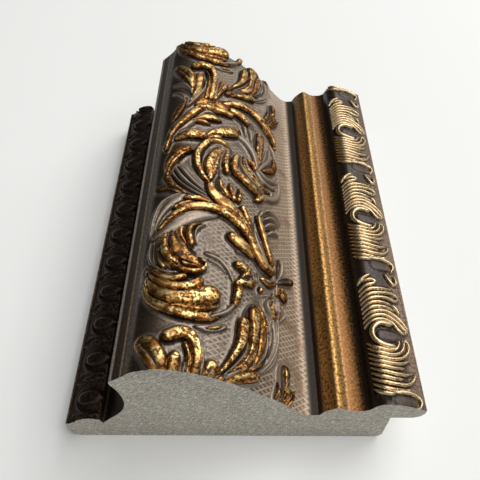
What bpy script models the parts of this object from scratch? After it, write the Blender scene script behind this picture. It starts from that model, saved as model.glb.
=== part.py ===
"""A length of acanthus leaf picture frame moulding, moulded as one piece and cut square at both ends.

The section runs along Y. The outer side with the egg rail is at -X, the rabbet for glass and
picture is under the lip at +X, and the base stands on Z = 0. The front cut is at -Y.
"""
from collections import namedtuple

import bpy
import numpy as np

MM = 0.001

# Driving dimensions, in millimetres
WIDTH = 115.0             # outer side to lip
LENGTH = 162.0            # between the two cuts
CREST_HEIGHT = 49.0       # top of the dome, under the leaves
RIDGE_HEIGHT = 42.0       # arris at the left of the dome
RAIL_HEIGHT = 9.7         # outer arris of the egg rail
CHANNEL_HEIGHT = 18.2     # foot of the dome
LIP_HEIGHT = 22.0         # upper arris at the sight edge
RABBET_WIDTH = 10.1
RABBET_HEIGHT = 16.4
LEAF_REPEAT = 133.5       # one run of the scroll pattern
SHELL_REPEAT = 52.0       # from one C scroll of the shell band to the next
SHELL_START = 24.0        # front cut to the first C scroll
SHELL_RIBS = 11           # ribs on each side of a C scroll
SHELL_RIB_PITCH = 1.75
EGG_REPEAT = 14.2
EGG_START = 7.2
ROPE_PITCH = 2.4
ROPE_HEIGHT = 0.45        # the outer side stands this far behind the rope on it

# Mesh of the solid
GRID = 0.6                # spacing of the carved sheet before it is thinned
TRIANGLES = 9400          # faces that the thinned solid keeps
SNAP = 0.12               # a vertex this close to a flat face is put on it

LEFT = -WIDTH / 2 + ROPE_HEIGHT
RIGHT = WIDTH / 2
SHELF = RIGHT - RABBET_WIDTH

# The section as stretches: curved or straight, and the points it passes, from the outer base
# arris over the carved top to the lip, then back under it. Each starts where the last one ended.
SECTION = (
    ("side", "curved", [(LEFT + 4.5, 0), (LEFT + 1.3, 1.3), (LEFT, 5.0)]),
    ("side", "straight", [(LEFT, RAIL_HEIGHT)]),
    ("rail", "curved", [(LEFT + 3.5, 11.8), (LEFT + 7.5, 13.3), (LEFT + 11.5, 13.9)]),
    ("quirk", "straight", [(LEFT + 12.2, 11.0), (LEFT + 14.2, 13.5)]),
    ("cove", "curved", [(-37.6, 20.0), (-35.3, 26.5), (-35.6, 34.0), (-37.5, RIDGE_HEIGHT - 1.8)]),
    ("nose", "curved", [(-37.4, RIDGE_HEIGHT - 0.6), (-36.6, RIDGE_HEIGHT)]),
    ("ridge", "straight", [(-33.2, 44.8)]),
    ("dome", "curved", [(-29.5, 47.8), (-23.3, CREST_HEIGHT), (-15.0, 47.2), (-5.5, 42.4), (4.2, 35.1),
                        (13.0, 25.9), (18.2, 20.2), (21.4, CHANNEL_HEIGHT), (24.7, CHANNEL_HEIGHT)]),
    ("torus", "curved", [(26.2, 20.8), (29.8, 23.7), (33.3, 22.1)]),
    ("flat", "straight", [(34.9, 21.6), (37.9, 21.6), (39.8, 22.4)]),
    ("shell", "curved", [(41.4, 24.9), (43.8, 26.5), (47.5, 26.0), (RIGHT, LIP_HEIGHT)]),
    ("lip", "straight", [(RIGHT, LIP_HEIGHT - 2.4), (RIGHT - 1.2, RABBET_HEIGHT + 1.0),
                         (RIGHT - 3.3, RABBET_HEIGHT)]),
    ("shelf", "straight", [(SHELF, RABBET_HEIGHT)]),
    ("wall", "straight", [(SHELF, 2.2)]),
    ("arris", "straight", [(SHELF - 1.0, 0.5), (SHELF - 3.0, 0)]),
    ("base", "straight", [(LEFT + 4.5, 0)]),
)
CARVED = ("side", "rail", "quirk", "cove", "nose", "ridge", "dome", "torus", "flat", "shell")

# How a leaf swells along its length: share of its width at the root, place of the belly, share at the tip
LOBE = (0.35, 0.75, 0.95)
LEAF = (0.30, 0.55, 0.25)
STEM = (0.55, 0.40, 0.60)
BEAD = (0.90, 0.50, 0.90)
CREST = 2.4               # power of a leaf's cross section: 2 is round, more is fuller
CREST_MARK = 0.85         # the paths are marked a little below the very top of each leaf
EYE = np.array([1.0, -66.5, 185.0])    # where the carving is looked at from, y from the front cut

Leaf = namedtuple("Leaf", "path width height swell")


def leaf(path, width, height, swell=LOBE):
    """One leaf, lobe or stem. Its path runs over the crest, as distances from the ridge and from the front cut."""
    return Leaf(path, width, height, swell)


def fan(first, last, count, width, height, swell=LOBE):
    """Leaves side by side, spread evenly between the paths of the first and the last."""
    leaves = []
    for k in range(count):
        t = k / (count - 1)
        path = [((1 - t) * a[0] + t * b[0], (1 - t) * a[1] + t * b[1]) for a, b in zip(first, last)]
        leaves.append(leaf(path, width, height, swell))
    return leaves


def opening_spray():
    """The spray that opens the pattern, at the front cut."""
    return [
        leaf([(19.5, -3), (16, 4), (11, 8.8)], 5.8, 2.1),
        leaf([(17, -17), (19.6, -8), (20.2, 0), (20.5, 5.2)], 4.0, 2.1),
        leaf([(24, -8), (24.8, 0), (24.6, 6), (23.4, 10)], 2.6, 2.2, (0.6, 0.5, 0.5)),
        leaf([(25.5, -9), (27.2, 0), (27.4, 7), (25, 12), (21.5, 13.2), (18.4, 11.8)], 4.2, 2.6, (0.6, 0.7, 0.95)),
        leaf([(28, -6), (30, 1), (32.2, 4.2)], 4.0, 2.1),
        leaf([(32.5, -2.5), (35.2, 1)], 2.8, 1.8, BEAD),
        leaf([(22.5, -16), (26, -9), (29.5, -3)], 6.5, 2.2, STEM),
        *fan([(18.3, -3), (14.2, -0.4), (9.4, -1.2)], [(17, -13), (13.4, -10.2), (9.8, -11.2)], 3, 3.2, 1.8),
        leaf([(15.4, -11), (14.6, -17), (12.6, -23), (10.8, -27)], 3.0, 1.8, LEAF),
        leaf([(35, 1), (44.5, 12), (48, 22)], 11.5, 1.3, (0.3, 0.8, 0.6)),
        leaf([(28.5, -7), (38.5, 3), (44, 10.5), (46.6, 18), (47.8, 26.4)], 5.0, 2.6, (0.3, 0.8, 0.95)),
        leaf([(33.5, 3.6), (38.2, 8.6), (41.6, 14.5), (42.4, 21.8)], 3.4, 2.3, (0.3, 0.8, 0.9)),
        leaf([(40, 4), (47.4, 10), (51, 17), (52, 22.4)], 3.0, 2.0, LEAF),
        leaf([(42, 3.4), (50, 10), (53.9, 17), (54.6, 21.6)], 2.6, 1.7, LEAF),
        leaf([(34.5, -1), (42, 2.8), (48.2, 5.8)], 3.1, 1.9, (0.3, 0.85, 0.9)),
        leaf([(50, 7.5), (55.4, 14), (58.2, 22), (58.8, 30)], 2.2, 1.2, STEM),
        leaf([(51, 9), (55, 17), (57.2, 27)], 4.0, 0.9, LEAF),
        leaf([(58.5, -3), (61, 4), (62.2, 11.8)], 5.4, 1.6),
    ]


def lower_scroll():
    """The first volute with the curled leaf inside it."""
    return [
        leaf([(11, 33), (16.5, 26.5), (25, 24.5), (31, 26.5)], 11.5, 1.3, (0.4, 0.6, 0.5)),
        leaf([(8, 28), (11, 23), (17, 19.8), (25, 18.9), (33, 20.6), (38.5, 26)], 2.8, 2.3, (0.7, 0.5, 0.4)),
        leaf([(37.2, 23.3), (40, 28.5), (40.9, 36.5)], 3.2, 2.2, (0.4, 0.7, 0.9)),
        leaf([(8, 30), (13, 24.1), (22, 21.8), (32, 24.0)], 3.0, 2.4, (0.5, 0.7, 0.9)),
        leaf([(8, 32), (13, 26.4), (22, 25.4), (32, 28.6)], 5.4, 2.9, (0.35, 0.85, 0.95)),
        leaf([(8, 34), (12.5, 29.3), (19, 28.2), (26.5, 31.8)], 3.2, 2.4, (0.45, 0.8, 0.9)),
        leaf([(8.4, 37), (12, 32.3), (17, 30.3), (21.6, 32.2)], 2.4, 2.0, (0.5, 0.7, 0.8)),
        leaf([(8.4, 47), (8.7, 39.5), (11.8, 34.2), (17, 31.9)], 1.7, 1.5, STEM),
        leaf([(18, 54), (15.8, 46), (18.5, 39.8), (23, 38)], 8.0, 1.7, STEM),
        *fan([(15.4, 53), (13.9, 45), (16.4, 38.6), (21, 36.4)], [(20.2, 56), (18.4, 50), (19.9, 45.3), (25, 43)],
             3, 2.8, 2.5, (0.5, 0.6, 0.7)),
        leaf([(22, 41.3), (26.6, 41.3), (28, 38.6), (26, 36), (21.3, 34.9)], 2.8, 2.8, (0.6, 0.5, 0.5)),
        leaf([(27.5, 57), (23.8, 54.7), (22.4, 50.5), (23, 46.6)], 2.5, 2.1, (0.3, 0.7, 0.9)),
        leaf([(40.6, 35.5), (43.6, 37.8), (47, 38.4)], 3.8, 2.3, (0.6, 0.8, 0.95)),
        leaf([(43, 37.8), (45.2, 41), (43.8, 43.4), (40.6, 43.6)], 3.8, 2.2, (0.7, 0.6, 0.9)),
        leaf([(46.8, 51.2), (41.7, 53.3), (38.4, 55)], 5.2, 2.6, (0.45, 0.6, 0.85)),
        leaf([(46.6, 50), (43.2, 49.2), (40, 48)], 2.8, 1.6, LEAF),
    ]


def arch_with_flower():
    """The stem that arches over the first volute, its leaves, and the flower and bud at its end."""
    return [
        leaf([(10, 49.5), (19, 57.5), (27, 61.6), (35, 62.6)], 6.0, 1.3, (0.5, 0.5, 0.3)),
        leaf([(8.5, 51.5), (19, 61), (25, 64), (31, 65.6), (37, 65.2), (42, 62.8), (46.4, 58), (55, 50.4)],
             4.2, 2.9, (0.45, 0.6, 1.3)),
        leaf([(46, 58.5), (50, 53.8), (55.6, 50.4)], 6.2, 2.7, (0.6, 0.8, 0.9)),
        leaf([(50, 72), (50.8, 67), (54.6, 58.5), (57.4, 53)], 3.4, 2.4, (0.7, 0.5, 0.8)),
        leaf([(50.6, 71.6), (52.4, 74.6), (54.8, 77.4)], 1.6, 1.3, LEAF),
        leaf([(46.6, 62.6), (44.4, 67), (43, 70.2)], 3.6, 2.2),
        leaf([(28, 76.5), (29.5, 72.4), (34, 69.4), (39.5, 67), (45.4, 62)], 5.0, 2.7, (0.5, 0.7, 0.7)),
        leaf([(8.2, 50.6), (9.6, 56.6), (13, 62.4), (19, 67)], 4.6, 1.7, (0.3, 0.7, 0.6)),
        *fan([(19.5, 68), (15.5, 73), (12.5, 75.8)], [(17.5, 67.6), (12.5, 70), (8.4, 70.7)], 3, 2.9, 1.7),
        leaf([(26, 63.8), (20, 62.8), (14.8, 60.5)], 2.8, 2.2, (0.5, 0.8, 0.9)),
        leaf([(30, 66.6), (25.5, 67), (20.2, 66)], 2.2, 1.9, (0.5, 0.8, 0.9)),
        *fan([(29.5, 67), (20.5, 70.2), (13.6, 77.8)], [(30, 68.4), (22.6, 74), (16.2, 81.6)], 3, 1.8, 1.4),
        leaf([(60, 47), (61.4, 51.5), (62.3, 55)], 4.2, 1.3),
        leaf([(60.5, 46.5), (64.5, 48.5), (67, 49.6)], 3.4, 1.4),
        leaf([(60.6, 45), (62.4, 42.8), (63.8, 41.2)], 4.0, 1.8),
        leaf([(59, 43.6), (55, 42.4), (51.4, 43)], 3.4, 1.5, (0.4, 0.5, 0.5)),
        leaf([(57.2, 37), (57.8, 34.5), (58.6, 31.6)], 7.4, 1.9, (0.6, 0.5, 0.5)),
        leaf([(50.8, 37.6), (51.2, 38.4)], 2.4, 1.4, BEAD),
        *fan([(54.6, 75.6), (58.8, 78), (64, 75.6)], [(55.4, 65.4), (59, 68.8), (63.2, 69.6)], 4, 1.7, 1.1, LEAF),
    ]


def upper_scroll():
    """The second volute, which winds the other way, and the pendant leaf in its eye."""
    return [
        leaf([(41, 95), (48, 91), (56, 90.6), (61.5, 97), (61.5, 106)], 8.5, 1.5, (0.7, 0.4, 0.3)),
        leaf([(28, 76.5), (22.1, 89), (24, 96.5), (28.6, 104), (34, 109), (38.4, 111.8)], 5.6, 2.7,
             (0.25, 0.85, 0.85)),
        leaf([(25.2, 96.6), (28.4, 101.4), (32.2, 103.6)], 2.7, 2.1, LEAF),
        leaf([(27.5, 78), (24.4, 84), (24.8, 90), (27.8, 96.4), (32, 101), (35.6, 101), (37.2, 97)], 2.2, 2.0, STEM),
        leaf([(28.6, 79.5), (28.8, 85), (29.8, 90.5), (32, 95.6)], 5.6, 2.8, (0.35, 0.5, 0.55)),
        leaf([(35, 86.4), (34.8, 91), (35.4, 97)], 3.2, 2.2, (0.7, 0.5, 0.9)),
        *fan([(32, 81), (32.4, 78), (34.6, 73.6)], [(40.6, 79), (40.2, 76), (41, 73)], 3, 3.0, 2.0),
        leaf([(38.6, 98.6), (38.8, 92.4), (44, 88), (52.5, 84)], 3.8, 2.8, (0.7, 0.5, 0.6)),
        leaf([(50.6, 84.8), (53, 83), (49, 79)], 2.6, 2.2, LEAF),
        leaf([(42.4, 99), (43, 93), (48, 89.3), (55, 87.6), (60.5, 89.5), (63, 94)], 4.2, 2.7, (0.7, 0.4, 0.3)),
        leaf([(45.6, 99.4), (48, 95.2), (53, 92.4), (59, 93.2), (63, 98)], 3.2, 2.2, (0.7, 0.4, 0.3)),
        leaf([(49, 98.2), (52, 96), (56, 95.6), (60, 97.2), (62.8, 101.6)], 2.2, 1.9, (0.8, 0.4, 0.3)),
        leaf([(52.5, 83.8), (58, 85.6), (62.3, 90), (64.4, 96), (64.2, 103)], 2.2, 2.3, STEM),
        leaf([(54.6, 99.5), (58, 101.6), (61, 105), (61.8, 109)], 3.8, 2.1, (0.5, 0.5, 0.3)),
        leaf([(51.3, 100.5), (52.5, 108), (52.7, 119)], 5.4, 2.3, (0.22, 0.7, 0.8)),
        leaf([(51, 97), (54.8, 102), (57.8, 108), (58.8, 115)], 2.2, 1.4, STEM),
        leaf([(40.5, 109.6), (46, 107), (50.2, 98.6)], 3.4, 1.5, (0.6, 0.4, 0.5)),
    ]


def closing_arch():
    """The stem that arches over the second volute and springs the next opening spray."""
    return [
        leaf([(29, 127), (37, 131), (44.5, 133.2), (51.5, 132.5), (58, 129), (63, 124)], 4.6, 2.7, (0.4, 0.6, 0.3)),
        leaf([(23, 121.5), (29, 124), (37, 124.6)], 6.5, 2.2, STEM),
        leaf([(33, 125), (39, 124.9), (44.4, 123.6)], 4.0, 2.6, (0.7, 0.8, 0.8)),
        leaf([(6.6, 94), (15, 107), (19.5, 114.4), (24, 119.2), (30, 121), (37, 121.6)], 4.8, 2.7,
             (0.4, 0.5, 0.4)),
        leaf([(20, 110.4), (26, 112.6), (32, 114.4)], 3.4, 2.2, LEAF),
        leaf([(18.8, 108.6), (23, 109.6), (27.2, 109.4)], 2.2, 1.8, LEAF),
        leaf([(22, 114), (25, 116.4), (28.4, 116.8)], 2.2, 1.5, LEAF),
        leaf([(13.2, 97), (17, 101.2), (22, 102.6)], 5.2, 2.5, (0.35, 0.7, 0.9)),
        leaf([(11.8, 77), (11.6, 84), (14.2, 89.6), (19, 92.6)], 4.2, 2.5, (0.35, 0.7, 0.6)),
    ]


def shell_band():
    """Ribs that fan out on both sides of each open C scroll and curl back at the sight edge."""
    leaves = []
    for centre in np.arange(SHELL_START - SHELL_REPEAT, LENGTH + SHELL_REPEAT, SHELL_REPEAT):
        leaves.append(leaf([(105, centre + 4.3), (101, centre + 4.5), (98, centre + 0.5),
                            (100.6, centre - 3.6), (104.6, centre - 3.8)], 1.5, 0.9, BEAD))
        for side in (-1, 1):
            for k in range(SHELL_RIBS):
                away = 3.4 + SHELL_RIB_PITCH * k
                curl = 3.5 if k < 3 else 0.6
                reach = 109 + 0.9 * k if k < 3 else 109.5 - 2.5 * (k % 3 == 0)
                path = [(95.8, away), (100.5, away + 2.7), (105.5, away + 1.9), (reach, away + 1.9 - curl)]
                leaves.append(leaf([(s, centre + side * y) for s, y in path], 1.25, 0.7, STEM))
    return leaves


def egg_rail():
    """Eggs in their collars along the rail, with a dart between each two, measured from the ridge."""
    leaves = []
    for middle in np.arange(EGG_START - EGG_REPEAT, LENGTH + EGG_REPEAT, EGG_REPEAT):
        leaves.append(leaf([(6.6, middle), (10.2, middle)], 5.2, 1.8, BEAD))
        leaves.append(leaf([(11, middle + 5.2), (6, middle + 4.2), (3.4, middle),
                            (6, middle - 4.2), (11, middle - 5.2)], 1.3, 0.7, BEAD))
        leaves.append(leaf([(4.6, middle + EGG_REPEAT / 2), (10.6, middle + EGG_REPEAT / 2)], 2.6, 1.0, LEAF))
    return leaves


def rope_edge():
    """Slanting notches of the rope along the outer side."""
    strands = []
    for start in np.arange(-ROPE_PITCH, LENGTH + ROPE_PITCH, ROPE_PITCH):
        strands.append(leaf([(-3.6, start + 1.0), (0.2, start - 1.0)], 1.5, ROPE_HEIGHT, BEAD))
    return strands


def smooth(points, step):
    """Points along a smooth curve through the given ones, about one step apart."""
    knots = np.array(points, float)
    around = np.vstack([2 * knots[0] - knots[1], knots, 2 * knots[-1] - knots[-2]])
    curve = []
    for a, b, c, d in zip(around, around[1:], around[2:], around[3:]):
        count = max(2, int(np.ceil(np.hypot(*(c - b)) / step)))
        t = (np.arange(count) / count)[:, None]
        curve.append((2 * b + (c - a) * t + (2 * a - 5 * b + 4 * c - d) * t ** 2
                      + (3 * b - a - 3 * c + d) * t ** 3) / 2)
    return np.vstack(curve + [knots[-1:]])


def straight(points, step):
    """Points along straight runs between the given ones, about one step apart."""
    runs = []
    for a, b in zip(np.array(points, float), np.array(points[1:], float)):
        count = max(1, int(np.ceil(np.hypot(*(b - a)) / step)))
        runs.append(a + (b - a) * (np.arange(count) / count)[:, None])
    return np.vstack(runs + [np.array(points[-1:], float)])


def travel(points):
    """How far along a line of points each of them is."""
    return np.concatenate([[0], np.cumsum(np.hypot(*np.diff(points, axis=0).T))])


def section():
    """The closed section: its points, their outward normals, and the distance along it of each arris."""
    points, arris = [np.array([SECTION[0][2][0]], float)], {}
    for name, form, stops in SECTION:
        start = tuple(points[-1][-1])
        arris.setdefault(name, sum(len(run) for run in points) - 1)
        stops = stops if stops[0] == start else [start] + list(stops)
        run = smooth(stops, GRID) if form == "curved" else straight(stops, GRID if name in CARVED else WIDTH)
        points.append(run[1:])
    points = np.vstack(points)[:-1]
    along = np.roll(points, -1, axis=0) - np.roll(points, 1, axis=0)
    normals = np.stack([-along[:, 1], along[:, 0]], axis=1) / np.hypot(*along.T)[:, None]
    return points, normals, travel(points), arris


def drop_to_ground(path, height, points, normals, across):
    """The scrolls' paths are marked on the ground where each crest shows from EYE, so put them under the crest."""
    x, z, nx, nz = (np.interp(path[:, 0], across, line) for line in (*points.T, *normals.T))
    sight = np.stack([x, path[:, 1], z], axis=1) - EYE
    facing = sight[:, 0] * nx + sight[:, 2] * nz
    sideways = sight[:, 0] * nz - sight[:, 2] * nx
    return path + CREST_MARK * height * np.stack([sideways, sight[:, 1]], axis=1) / facing[:, None]


def raise_leaf(relief, across, length, path, piece):
    """Raise one leaf on the sheet of heights, wherever it stands above what is there already."""
    path = smooth(path, 1.0) if len(path) > 2 else straight(path, 1.0)
    half = piece.width / 2
    low, high = path.min(axis=0) - half, path.max(axis=0) + half
    columns = np.flatnonzero((across >= low[0]) & (across <= high[0]))
    rows = np.flatnonzero((length >= low[1]) & (length <= high[1]))
    if len(columns) == 0 or len(rows) == 0:
        return
    window = np.s_[rows[0]:rows[-1] + 1, columns[0]:columns[-1] + 1]
    x, y = np.meshgrid(across[window[1]], length[window[0]])
    root, belly, tip = piece.swell
    share_of_path = travel(path) / travel(path)[-1]
    nearest = np.full(x.shape, np.inf)
    fullness = np.ones(x.shape)
    for k in range(len(path) - 1):
        run = path[k + 1] - path[k]
        t = np.clip(((x - path[k][0]) * run[0] + (y - path[k][1]) * run[1]) / (run @ run), 0, 1)
        u = share_of_path[k] + t * (share_of_path[k + 1] - share_of_path[k])
        rise = root + (1 - root) * np.sin(np.pi / 2 * np.minimum(u / belly, 1))
        fall = 1 + (tip - 1) * np.clip((u - belly) / (1 - belly), 0, 1) ** 2
        swell = np.where(u < belly, rise, fall)
        off = np.hypot(x - path[k][0] - t * run[0], y - path[k][1] - t * run[1]) / (half * swell)
        fullness = np.where(off < nearest, swell, fullness)
        nearest = np.minimum(off, nearest)
    height = piece.height * np.sqrt(fullness) * np.sqrt(np.clip(1 - nearest ** CREST, 0, 1))
    relief[window] = np.maximum(relief[window], height)


def carving(length, points, normals, across, arris):
    """Heights of all the carving over the ground, for each place on the sheet."""
    relief = np.zeros((len(length), len(across)))
    ridge, rail = (np.array([across[arris[name]], 0]) for name in ("ridge", "rail"))
    for piece in opening_spray() + lower_scroll() + arch_with_flower() + upper_scroll() + closing_arch():
        path = drop_to_ground(np.array(piece.path, float) + ridge, piece.height, points, normals, across)
        for shift in (-LEAF_REPEAT, 0, LEAF_REPEAT):
            raise_leaf(relief, across, length, path + np.array([0, shift]), piece)
    for piece in shell_band():
        raise_leaf(relief, across, length, np.array(piece.path, float) + ridge, piece)
    for piece in egg_rail() + rope_edge():
        raise_leaf(relief, across, length, np.array(piece.path, float) + rail, piece)
    return relief


def moulding_mesh():
    """One closed sheet round the section, carved on its face, with a flat cap at each cut."""
    points, normals, across, arris = section()
    stations = np.linspace(0, LENGTH, int(round(LENGTH / GRID)) + 1)
    relief = carving(stations, points, normals, across, arris)
    relief[:, arris["lip"]:] = 0
    around = len(points)
    corners = np.empty((len(stations), around, 3))
    corners[..., 0] = points[:, 0] + normals[:, 0] * relief
    corners[..., 1] = (stations - LENGTH / 2)[:, None]
    corners[..., 2] = points[:, 1] + normals[:, 1] * relief
    corners = np.round(corners * MM, 6).reshape(-1, 3)
    faces = []
    for row in range(len(stations) - 1):
        near, far = row * around, (row + 1) * around
        for k in range(around):
            after = (k + 1) % around
            faces.append((near + k, near + after, far + after, far + k))
    faces.append(tuple(range(around - 1, -1, -1)))
    faces.append(tuple(range(len(corners) - around, len(corners))))
    mesh = bpy.data.meshes.new("moulding")
    mesh.from_pydata([tuple(corner) for corner in corners], [], faces)
    mesh.validate()
    return mesh


def thin_out(body):
    """Thin the sheet to flat facets, and put what lies on a flat face of the real piece exactly there."""
    modifier = body.modifiers.new("facets", "DECIMATE")
    body.data.calc_loop_triangles()
    modifier.ratio = TRIANGLES / len(body.data.loop_triangles)
    bpy.context.view_layer.objects.active = body
    bpy.ops.object.modifier_apply(modifier="facets")
    corners = np.empty(len(body.data.vertices) * 3)
    body.data.vertices.foreach_get("co", corners)
    corners = corners.reshape(-1, 3) / MM
    x, y, z = corners.T
    for cut in (-LENGTH / 2, LENGTH / 2):
        y[np.abs(y - cut) < SNAP] = cut
    z[z < SNAP] = 0
    under_lip = (x > SHELF - SNAP) & (x < RIGHT - 3.3 + SNAP)
    z[under_lip & (np.abs(z - RABBET_HEIGHT) < SNAP)] = RABBET_HEIGHT
    x[(np.abs(x - SHELF) < SNAP) & (z < RABBET_HEIGHT + SNAP)] = SHELF
    body.data.vertices.foreach_set("co", (corners * MM).ravel())
    body.data.update()


def antique_gilt():
    """Gold leaf over brown ground, rubbed back and washed with grey."""
    material = bpy.data.materials.new("antique_gilt")
    material.use_nodes = True
    shader = material.node_tree.nodes["Principled BSDF"]
    shader.inputs["Base Color"].default_value = (0.27, 0.19, 0.11, 1)
    shader.inputs["Roughness"].default_value = 0.42
    shader.inputs["Metallic"].default_value = 0.35
    return material


def main():
    for old in list(bpy.data.objects):
        bpy.data.objects.remove(old, do_unlink=True)
    body = bpy.data.objects.new("moulding", moulding_mesh())
    bpy.context.collection.objects.link(body)
    thin_out(body)
    body.data.materials.append(antique_gilt())


main()
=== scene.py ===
"""Looks of a length of acanthus leaf frame moulding: gold leaf on brown bole, pewter wash, bare foam."""
from collections import namedtuple
from math import cos, radians, sin

import bpy
import numpy as np
from mathutils import Matrix, Vector, kdtree


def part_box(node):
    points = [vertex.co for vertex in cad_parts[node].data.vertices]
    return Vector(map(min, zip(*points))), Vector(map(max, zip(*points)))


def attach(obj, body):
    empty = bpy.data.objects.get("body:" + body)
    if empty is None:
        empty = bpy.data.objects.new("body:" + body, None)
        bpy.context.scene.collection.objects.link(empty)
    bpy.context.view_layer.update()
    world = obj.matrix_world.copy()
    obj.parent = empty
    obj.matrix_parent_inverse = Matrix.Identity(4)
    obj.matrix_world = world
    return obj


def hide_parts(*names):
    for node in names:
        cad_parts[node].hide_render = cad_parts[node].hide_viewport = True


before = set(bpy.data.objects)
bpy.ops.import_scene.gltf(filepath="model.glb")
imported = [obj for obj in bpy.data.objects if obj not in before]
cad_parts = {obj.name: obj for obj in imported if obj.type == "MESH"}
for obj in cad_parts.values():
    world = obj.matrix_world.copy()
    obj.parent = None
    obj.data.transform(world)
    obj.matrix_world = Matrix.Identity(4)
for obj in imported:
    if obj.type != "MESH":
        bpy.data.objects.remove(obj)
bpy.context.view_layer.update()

MM = 0.001

# Sizes of the moulding in millimetres, as the frame has them
CORNER, FAR_CORNER = (np.array(corner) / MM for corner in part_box("moulding"))
LENGTH = FAR_CORNER[1] - CORNER[1]
RIGHT = FAR_CORNER[0]
ROPE_HEIGHT = 0.45        # the outer side stands this far behind the rope on it
LEFT = -RIGHT + ROPE_HEIGHT
CREST_HEIGHT = 49.0       # top of the dome, under the leaves
RIDGE_HEIGHT = 42.0       # arris at the left of the dome
RAIL_HEIGHT = 9.7         # outer arris of the egg rail
CHANNEL_HEIGHT = 18.2     # foot of the dome
LIP_HEIGHT = 22.0         # upper arris at the sight edge
RABBET_WIDTH = 10.1
RABBET_HEIGHT = 16.4
LEAF_REPEAT = 133.5       # one run of the scroll pattern
SHELL_REPEAT = 52.0       # from one C scroll of the shell band to the next
SHELL_START = 24.0        # front cut to the first C scroll
EGG_REPEAT = 14.2
EGG_START = 7.2
ROPE_PITCH = 1.7
SHELF = RIGHT - RABBET_WIDTH

# Mesh of the carved piece
FINE = 0.27               # spacing of the sheet where it is carved
PLAIN = 1.3               # and where it is smooth
TRIANGLES = 152000        # kept when the sheet is thinned out
LONGEST = 1.4             # edges longer than this are then halved again
HALVINGS = 3              # at most this many times

# The carved side of the section as stretches: curved or straight, spacing, and the points it passes,
# from the outer base arris over the top to the lip. Each starts where the last one ended.
SECTION = (
    ("side", "curved", PLAIN, [(LEFT + 4.5, 0), (LEFT + 1.3, 1.3), (LEFT, 5.0)]),
    ("side", "straight", FINE, [(LEFT, RAIL_HEIGHT)]),
    ("rail", "curved", FINE, [(LEFT + 3.5, 11.8), (LEFT + 7.5, 13.3), (LEFT + 11.5, 13.9)]),
    ("quirk", "straight", FINE, [(LEFT + 12.2, 11.0), (LEFT + 14.2, 13.5)]),
    ("cove", "curved", PLAIN, [(-37.6, 20.0), (-35.3, 26.5), (-35.6, 34.0), (-37.5, RIDGE_HEIGHT - 1.8)]),
    ("nose", "curved", FINE, [(-37.4, RIDGE_HEIGHT - 0.6), (-36.6, RIDGE_HEIGHT)]),
    ("ridge", "straight", FINE, [(-33.2, 44.8)]),
    ("dome", "curved", FINE, [(-29.5, 47.8), (-23.3, CREST_HEIGHT), (-15.0, 47.2), (-5.5, 42.4), (4.2, 35.1),
                              (13.0, 25.9), (18.2, 20.2), (21.4, CHANNEL_HEIGHT), (24.7, CHANNEL_HEIGHT)]),
    ("torus", "curved", FINE, [(26.2, 20.8), (29.8, 23.7), (33.3, 22.1)]),
    ("flat", "straight", FINE, [(34.9, 21.6), (37.9, 21.6), (39.8, 22.4)]),
    ("shell", "curved", FINE, [(41.4, 24.9), (43.8, 26.5), (47.5, 26.0), (RIGHT, LIP_HEIGHT)]),
)
# The plain side, from the lip round the rabbet to the base
UNDER = [(RIGHT, LIP_HEIGHT - 2.4), (RIGHT - 1.2, RABBET_HEIGHT + 1.0), (RIGHT - 3.3, RABBET_HEIGHT),
         (SHELF, RABBET_HEIGHT), (SHELF, 2.2), (SHELF - 1.0, 0.5), (SHELF - 3.0, 0)]
TOUCHING = 0.05           # what is nearer than this to a plane lies on it

# How a leaf swells along its length: share of its width at the root, place of the belly, share at the tip
LOBE = (0.35, 0.75, 0.95)
LEAF = (0.30, 0.55, 0.25)
STEM = (0.55, 0.40, 0.60)
BEAD = (0.90, 0.50, 0.90)
CREST = 4.0               # power of a leaf's cross section: 2 is round, more is fuller
CREST_MARK = 0.85         # the paths are marked a little below the very top of each leaf
UNDERCUT = 0.45           # share of the height under a leaf that is cut away along its outline
OUTLINE = 0.5             # width over which that cut runs out
CROWN = 0.38              # share of its half width over which the gilding thins out to its edge
GROOVED = 2.3             # height of the leaves that have grooves
BORDERED = 1.45           # leaves higher than this have a smooth border at the foot
BORDER = 1.1              # its width
BORDER_STEP = 0.3         # and the width and height of its own edge
BORDER_HEIGHT = 0.12
SAWN = 0.3                # share of the leaves' height at the front cut, which runs through their roots
SAWN_LENGTH = 2.5         # they have their full height this far from it
DOME_WIDTH = 72           # from the ridge arris over the dome to the foot of the torus
PATH_STEP = 1.0           # length of the straight runs that a leaf's path is cut into
HOLLOW_REACH = 1.2        # how far around the umber wash and painted shade look to find out what is a hollow
EYE = np.array([1.0, -66.5, 185.0])    # where the carving is looked at from, y from the front cut

# How much gold a leaf carries; below nothing it is umber wash with painted shade
BRIGHT = 1.5
GOLD = 1.0
BRONZE = 0.5
WASH = 0.05
UMBER_AND_SHADE = -0.9

Leaf = namedtuple("Leaf", "path width height swell gilt")


def leaf(path, width, height, swell=LOBE, gilt=GOLD):
    """One leaf or lobe. Its path runs over the crest, as distances from the ridge and from the front cut."""
    return Leaf(path, width, height, swell, gilt)


def rib(path, width, height):
    """A thin even rib with the ground's wash on it."""
    return Leaf(path, width, height, STEM, WASH)


def blade(path, width, height):
    """A slim pointed leaf with the ground's wash on it."""
    return Leaf(path, width, height, LEAF, WASH)


def fan(first, last, count, width, height, swell=LOBE, gilt=GOLD):
    """Leaves side by side, spread evenly between the paths of the first and the last."""
    leaves = []
    for k in range(count):
        t = k / (count - 1)
        path = [((1 - t) * a[0] + t * b[0], (1 - t) * a[1] + t * b[1]) for a, b in zip(first, last)]
        leaves.append(leaf(path, width, height, swell, gilt))
    return leaves


def groove(path, width, depth):
    """A groove cut into whatever lies under it, its bottom darkened by umber wash and painted shade."""
    return Leaf(path, width, -depth, STEM, UMBER_AND_SHADE)


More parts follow.
